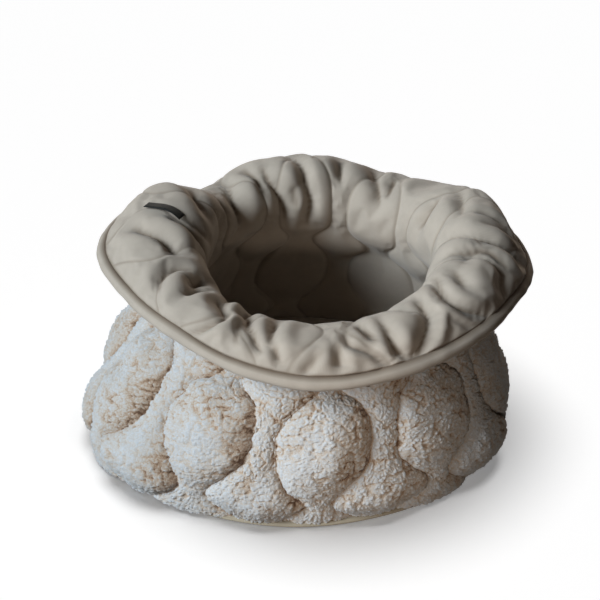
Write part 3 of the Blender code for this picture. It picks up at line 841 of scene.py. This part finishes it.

# The one flank of each pillow, its right side seen from the front, on which shade is painted.
ring_radius = wall_path(azimuth, height)[0].mean(1, keepdims=True)
shaded_flank = -np.gradient(thick, axis=1) / (2 * math.pi * ring_radius / thick.shape[1])
shaded_flank = np.clip(shaded_flank, 0, 1).ravel()
patchy = soft_noise(flat, PATCH_SIZE, seed=25)[:, 0]
# Where it parts more: in patches, and as painted shade on the seams and on the shaded flank.
open_pile = OPEN_PILE + PATCH_OPENING * patchy + SHADED_FLANK_OPENING * shaded_flank + SEAM_SHADE_OPENING * near_seam
open_pile = np.clip(open_pile, *OPENING_RANGE)
# Paler on the curls and clumps, darker in their partings (brown roots in part, painted shade in
# part), with painted shade on the seams and on the shaded flank.
tone_and_painted_shade = PILE_TONE - open_pile * (CURL_TONE * (1 - curl) + CLUMP_TONE * (1 - clump))
tone_and_painted_shade += FUZZ_TONE * fuzz - (SEAM_PAINTED_SHADE * near_seam + FLANK_PAINTED_SHADE * shaded_flank)
tone_and_painted_shade = tone_and_painted_shade.reshape(height.shape)

outer = front - side * tall.reshape(height.shape)[..., None]
outer[0, :, 2] = np.minimum(FOOT_Z, outer[1, :, 2] - PILE_ROOT / 2)
under = front - side * PILE_FOOT
under[0, :, 2] = FOOT_Z
facing = (1 - PILE_SOFTNESS) * facing_out(outer, side) + PILE_SOFTNESS * facing_out(front, side)
facing[0] = facing[1]
band_ends = np.linspace(0, PILE_ROWS - 1, PILE_BANDS + 1).astype(int)
for number, (low, high) in enumerate(zip(band_ends[:-1], band_ends[1:]), start=1):
    rows, back_rows = slice(low, high + 1), [high, (low + high) // 2, low]
    rings = np.concatenate([outer[rows], under[back_rows]])
    faces = close_rings(*rings.shape[:2])
    pile = quad_mesh(f"fleece_pile_{number}", rings.reshape(-1, 3), faces, fleece)
    under_tone = np.full((len(back_rows), rings.shape[1]), UNDER_TONE)
    set_value(pile, "pile", np.concatenate([tone_and_painted_shade[rows], under_tone]))
    normals = unit(np.concatenate([facing[rows], side[back_rows]]).reshape(-1, 3))
    pile.data.normals_split_custom_set_from_vertices(normals.tolist())
    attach(pile, "root")


# ---- Binding ----------------------------------------------------------------------------------
# A strip of the lining's jersey over a wadded cord, sewn round the cuff's edge so that it covers
# the edges of both layers. A fine brown shadow runs along the stitching.

BINDING_WIDTH = 0.0120
BINDING_THICKNESS = 0.0105
BINDING_COLUMNS = 400

# Its section, out from the cloth's edge and up: under the edge, round the cord, and over the edge.
BINDING_UNDER = ((-0.0012, -0.0040), (0.0004, -0.0051))
BINDING_ROUND, BINDING_ROUND_POINTS = 75.0, 9
BINDING_SHOULDER, BINDING_FULLNESS = 0.4, 1.05
BINDING_OVER = ((0.0004, 0.0050), (-0.0012, 0.0036), (-0.0020, 0.0))
BINDING_MIDDLE, BINDING_HEM = 0.005, 0.004
BINDING_STITCH = 0.001  # the shadow reaches this far out
BINDING_WOBBLE = ((0.0005, 0.011, 5), (0.0011, 0.045, 6))  # how far, over what length, and its seed

turns = np.arange(BINDING_COLUMNS) * 360 / BINDING_COLUMNS
edge, side = wall_frame(turns, np.full_like(turns, EDGE))
before, _ = wall_frame(turns, np.full_like(turns, EDGE - BINDING_HEM))
out = unit(edge - before)
section = list(BINDING_UNDER)
for turn in np.radians(np.linspace(-BINDING_ROUND, BINDING_ROUND, BINDING_ROUND_POINTS)):
    along_out = BINDING_WIDTH * (BINDING_SHOULDER + (1 - BINDING_SHOULDER) * math.cos(turn))
    section.append((along_out, BINDING_THICKNESS / 2 * BINDING_FULLNESS * math.sin(turn)))
section += BINDING_OVER
rings = np.stack([edge + out * along_out + side * up for along_out, up in section])
flat_rings = rings.reshape(-1, 3)
wobble = sum(soft_noise(flat_rings, size, seed)[:, :1] * far for far, size, seed in BINDING_WOBBLE)
inward = unit(flat_rings - np.tile(edge + out * BINDING_MIDDLE, (len(section), 1)))
flat_rings = flat_rings + inward * wobble
faces = close_rings(len(section), BINDING_COLUMNS)
band = quad_mesh("binding_band", flat_rings, faces, jersey)
lay_weave(band, faces, rings)
in_seam = np.array([along_out < BINDING_STITCH for along_out, _ in section]) * EDGE_SHADE
set_value(band, "tone_and_painted_shade", np.repeat(in_seam, BINDING_COLUMNS))
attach(band, "root")
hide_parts("binding")


# ---- Base -------------------------------------------------------------------------------------
# The round padded bottom, sewn all round to the foot of the wall. A thin edge of beige cotton
# shows under the fleece, and its crowned middle is covered with the jersey, as it lies inside the
# bag.

BASE_POINTS = 128
BASE_MARGIN = 0.0035  # between its crowned middle and the lining's foot
BASE_POLE = 0.0004  # the radius of the small face that closes each side
COTTON_RINGS = 7  # the jersey covers the rings after these
COTTON_LIGHT, COTTON_DARK = (0.36, 0.30, 0.22), (0.20, 0.15, 0.10)
COTTON_WEAVE = (1400.0, 1400.0, 0.0002)  # columns and rows per metre, and depth
# Its section, from the middle of its underside round to the middle of its top: a share of the
# outline's radius, less an inset.
BASE_SECTION_COLUMNS = ("outline", "share", "inset", "z")
BASE_SECTION = (
    ("rim", 0.0, 0.0, 0.0),
    ("rim", 0.5, 0.0, 0.0),
    ("rim", 1.0, 0.0050, 0.0),
    ("rim", 1.0, 0.0015, 0.0006),
    ("rim", 1.0, 0.0, 0.0025),
    ("rim", 1.0, 0.0012, 0.0044),
    ("rim", 1.0, 0.0040, 0.0050),
    ("middle", 1.0, 0.0, 0.0050),
    ("middle", 1.0, 0.0012, 0.0100),
    ("middle", 1.0, 0.0030, 0.0160),
    ("middle", 1.0, 0.0070, 0.0205),
    ("middle", 1.0, 0.0140, 0.0232),
    ("middle", 0.80, 0.0, 0.0255),
    ("middle", 0.62, 0.0, 0.0270),
    ("middle", 0.40, 0.0, 0.0276),
    ("middle", 0.20, 0.0, 0.0279),
    ("middle", 0.0, 0.0, 0.0280),
)

turns = np.arange(BASE_POINTS) * 360 / BASE_POINTS
outlines = {"rim": around("base_r", turns)}
outlines["middle"] = around("foot_r", turns) - LINING_SEAM_THICKNESS - BASE_MARGIN
outward = np.stack([np.cos(np.radians(turns)), np.sin(np.radians(turns))], -1)
rings = []
for row in BASE_SECTION:
    ring = dict(zip(BASE_SECTION_COLUMNS, row))
    radius_here = np.maximum(outlines[ring["outline"]] * ring["share"] - ring["inset"], BASE_POLE)
    flat = np.array(BASE_CENTRE) + outward * radius_here[:, None]
    rings.append(np.column_stack([flat, np.full_like(turns, ring["z"])]))
rings = np.stack(rings)
cotton = cloth_material("beige_cotton", COTTON_LIGHT, COTTON_DARK, *COTTON_WEAVE)
faces = ring_faces(len(rings), BASE_POINTS)
pad = quad_mesh("base_pad", rings.reshape(-1, 3), faces, cotton)
pad.data.materials.append(jersey)
covered = np.arange(len(faces)) >= COTTON_RINGS * BASE_POINTS
pad.data.polygons.foreach_set("material_index", covered.astype(np.int32))
lay_weave(pad, faces, rings)
whole = bmesh.new()
whole.from_mesh(pad.data)
poles = [edge for edge in whole.edges if edge.is_boundary]
caps = bmesh.ops.holes_fill(whole, edges=poles, sides=0)
for cap in caps["faces"]:
    cap.material_index = int(cap.calc_center_median().z > FOOT_Z)
whole.to_mesh(pad.data)
whole.free()
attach(pad, "root")
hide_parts("base")


# ---- Label ------------------------------------------------------------------------------------
# A small strip of dark woven tape, left blank. Its ends are folded under, and it is sewn flat on
# the cuff at the back left.

LABEL_LENGTH, LABEL_WIDTH, LABEL_THICKNESS = 0.044, 0.0115, 0.0012
LABEL_AZIMUTH, LABEL_HEIGHT, LABEL_HEADING = 173.5, 0.236, -26.5
LABEL_GRID = (33, 13)
LABEL_LIFT = 0.0006
LABEL_DROP = 0.03  # it is let down onto the lining from this far
LABEL_BEND = 3  # the degree of the curve in which it lies
LABEL_EDGE, LABEL_CROWN = 0.55, 0.45  # its thickness at the rim, and what is added inside
LABEL_END_SLOPE, LABEL_SIDE_SLOPE = 8, 6
TAPE_LIGHT, TAPE_DARK = (0.014, 0.014, 0.012), (0.006, 0.006, 0.005)
TAPE_WEAVE = (1200.0, 2400.0, 0.0002)  # columns and rows per metre, and depth


def from_ends(count, slope):
    """0 at both ends of a row of points, and 1 from a little way in."""
    place = np.arange(count)
    return np.minimum(1, slope * np.minimum(place, place[::-1]) / count)


lining_tree = BVHTree.FromObject(lining, bpy.context.evaluated_depsgraph_get())
middle, side = wall_frame(np.array([LABEL_AZIMUTH]), np.array([LABEL_HEIGHT]))
up = Vector(side[0])
heading = math.radians(LABEL_HEADING)
label_across = up.cross(Vector((math.cos(heading), math.sin(heading), 0))).normalized()
label_along = label_across.cross(up)
rows, columns = LABEL_GRID
spots = np.zeros((rows, columns, 3))
levels = np.zeros((rows, columns))
for i in range(rows):
    for j in range(columns):
        place = Vector(middle[0]) + label_along * (LABEL_LENGTH * (i / (rows - 1) - 0.5))
        place += label_across * (LABEL_WIDTH * (j / (columns - 1) - 0.5))
        hit, _, _, _ = lining_tree.ray_cast(place + up * LABEL_DROP, -up)
        spots[i, j] = place
        levels[i, j] = (hit - place).dot(up)
fit = np.polyfit(np.linspace(-1, 1, rows), levels.max(1), LABEL_BEND)
curve = np.polyval(fit, np.linspace(-1, 1, rows))
curve += max(0, (levels.max(1) - curve).max()) + LABEL_LIFT
inside = from_ends(rows, LABEL_END_SLOPE)[:, None] * from_ends(columns, LABEL_SIDE_SLOPE)
thick = LABEL_THICKNESS * (LABEL_EDGE + LABEL_CROWN * inside[..., None] ** 0.5)
top = spots + np.array(up) * (curve[:, None, None] + thick)
under = spots + np.array(up) * curve[:, None, None]
points = np.concatenate([top.reshape(-1, 3), under.reshape(-1, 3)])
i, j = np.meshgrid(np.arange(rows - 1), np.arange(columns - 1), indexing="ij")
corner = (i * columns + j).ravel()
sheet_faces = np.stack([corner, corner + columns, corner + columns + 1, corner + 1], -1)
below = sheet_faces[:, ::-1] + rows * columns
loop = [(0, j) for j in range(columns)]
loop += [(i, columns - 1) for i in range(1, rows)]
loop += [(rows - 1, j) for j in range(columns - 2, -1, -1)]
loop += [(i, 0) for i in range(rows - 2, 0, -1)]
loop = np.array([i * columns + j for i, j in loop])
after = np.roll(loop, -1)
rim = np.stack([loop, after, after + rows * columns, loop + rows * columns], -1)
tape = cloth_material("dark_tape", TAPE_LIGHT, TAPE_DARK, *TAPE_WEAVE, roughness=0.65, sheen=0.05)
faces = np.concatenate([sheet_faces, below, rim])
label = quad_mesh("label_tape", points, faces, tape)
corners = faces.ravel() % (rows * columns)
layer = label.data.uv_layers.new(name="weave")
along = corners // columns * LABEL_LENGTH / (rows - 1)
across = corners % columns * LABEL_WIDTH / (columns - 1)
flat = np.stack([along, across], -1)
layer.data.foreach_set("uv", flat.astype(np.float32).ravel())
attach(label, "root")
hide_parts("label")
